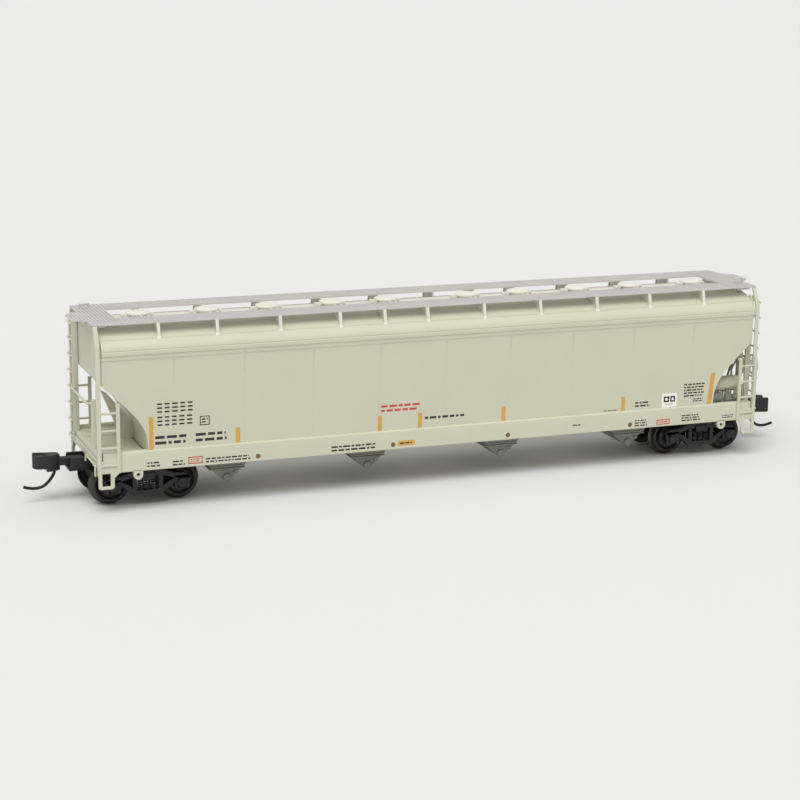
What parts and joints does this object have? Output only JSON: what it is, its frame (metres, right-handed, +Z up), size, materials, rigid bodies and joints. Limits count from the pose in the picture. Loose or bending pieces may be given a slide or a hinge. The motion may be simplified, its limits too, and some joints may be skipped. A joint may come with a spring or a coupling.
{
  "type": "model hopper car",
  "caption": "Model covered hopper wagon with roof hatches, running boards, ladders, four outlets, swivelling trucks, rolling wheelsets and knuckle couplers.",
  "frame": {"origin": "centre of the car in plan, at the underside of the wheel flanges", "axes": "+X along the car towards the brake end, +Y towards the left side seen from above with +X ahead, +Z up"},
  "size_m": [0.1358, 0.0206, 0.0308],
  "materials": {
    "body_paint": "satin light grey paint",
    "board_grey": "pale silver grey",
    "outlet_grey": "mid grey paint",
    "black_plastic": "unpainted black moulding",
    "blackened_steel": "chemically blackened",
    "bare_steel": "plain"
  },
  "bodies": {
    "car": {"body_shell": "body_paint", "hopper_floor": "body_paint", "steel_weight": "bare_steel", "outlet_gate_1": "outlet_grey", "outlet_gate_2": "outlet_grey", "outlet_gate_3": "outlet_grey", "outlet_gate_4": "outlet_grey", "running_board_left": "board_grey", "running_board_right": "board_grey", "hatch_cover_1": "body_paint", "hatch_cover_2": "body_paint", "hatch_cover_3": "body_paint", "hatch_cover_4": "body_paint", "hatch_cover_5": "body_paint", "hatch_cover_6": "body_paint", "hatch_cover_7": "body_paint", "hatch_cover_8": "body_paint", "hatch_cover_9": "body_paint", "hatch_cover_10": "body_paint", "crossover_a": "board_grey", "end_ladder_a": "body_paint", "side_ladder_a_left": "body_paint", "side_ladder_a_right": "body_paint", "underframe_a": "body_paint", "coupler_box_a": "black_plastic", "coupler_screw_a": "blackened_steel", "truck_pin_a": "black_plastic", "crossover_b": "board_grey", "end_ladder_b": "body_paint", "side_ladder_b_left": "body_paint", "side_ladder_b_right": "body_paint", "underframe_b": "body_paint", "coupler_box_b": "black_plastic", "coupler_screw_b": "blackened_steel", "truck_pin_b": "black_plastic", "air_reservoir": "body_paint", "brake_cylinder": "outlet_grey", "control_valve": "outlet_grey", "brake_gear_case": "body_paint", "brake_wheel": "body_paint"},
    "coupler_a": {"coupler_a": "black_plastic", "trip_pin_a": "blackened_steel"},
    "truck_a": {"truck_frame_a": "black_plastic"},
    "wheelset_a_outer": {"axle_a_outer": "black_plastic", "wheel_a_outer_left": "blackened_steel", "wheel_a_outer_right": "blackened_steel"},
    "wheelset_a_inner": {"axle_a_inner": "black_plastic", "wheel_a_inner_left": "blackened_steel", "wheel_a_inner_right": "blackened_steel"},
    "coupler_b": {"coupler_b": "black_plastic", "trip_pin_b": "blackened_steel"},
    "truck_b": {"truck_frame_b": "black_plastic"},
    "wheelset_b_outer": {"axle_b_outer": "black_plastic", "wheel_b_outer_left": "blackened_steel", "wheel_b_outer_right": "blackened_steel"},
    "wheelset_b_inner": {"axle_b_inner": "black_plastic", "wheel_b_inner_left": "blackened_steel", "wheel_b_inner_right": "blackened_steel"}
  },
  "joints": [
    {"name": "truck_a_swivel", "type": "hinge", "parent": "car", "child": "truck_a", "pos_m": [-0.0494, 0, 0.006], "axis": [0, 0, 1], "range_deg": [-10, 10]},
    {"name": "axle_a_outer_roll", "type": "hinge", "parent": "truck_a", "child": "wheelset_a_outer", "pos_m": [-0.05495, 0, 0.0034], "axis": [0, 1, 0], "continuous": true},
    {"name": "axle_a_inner_roll", "type": "hinge", "parent": "truck_a", "child": "wheelset_a_inner", "pos_m": [-0.04385, 0, 0.0034], "axis": [0, 1, 0], "continuous": true},
    {"name": "coupler_a_swing", "type": "hinge", "parent": "car", "child": "coupler_a", "pos_m": [-0.0572, 0, 0.00655], "axis": [0, 0, 1], "range_deg": [-10, 10]},
    {"name": "truck_b_swivel", "type": "hinge", "parent": "car", "child": "truck_b", "pos_m": [0.0494, 0, 0.006], "axis": [0, 0, 1], "range_deg": [-10, 10]},
    {"name": "axle_b_outer_roll", "type": "hinge", "parent": "truck_b", "child": "wheelset_b_outer", "pos_m": [0.05495, 0, 0.0034], "axis": [0, 1, 0], "continuous": true},
    {"name": "axle_b_inner_roll", "type": "hinge", "parent": "truck_b", "child": "wheelset_b_inner", "pos_m": [0.04385, 0, 0.0034], "axis": [0, 1, 0], "continuous": true},
    {"name": "coupler_b_swing", "type": "hinge", "parent": "car", "child": "coupler_b", "pos_m": [0.0572, 0, 0.00655], "axis": [0, 0, 1], "range_deg": [-10, 10]}
  ]
}
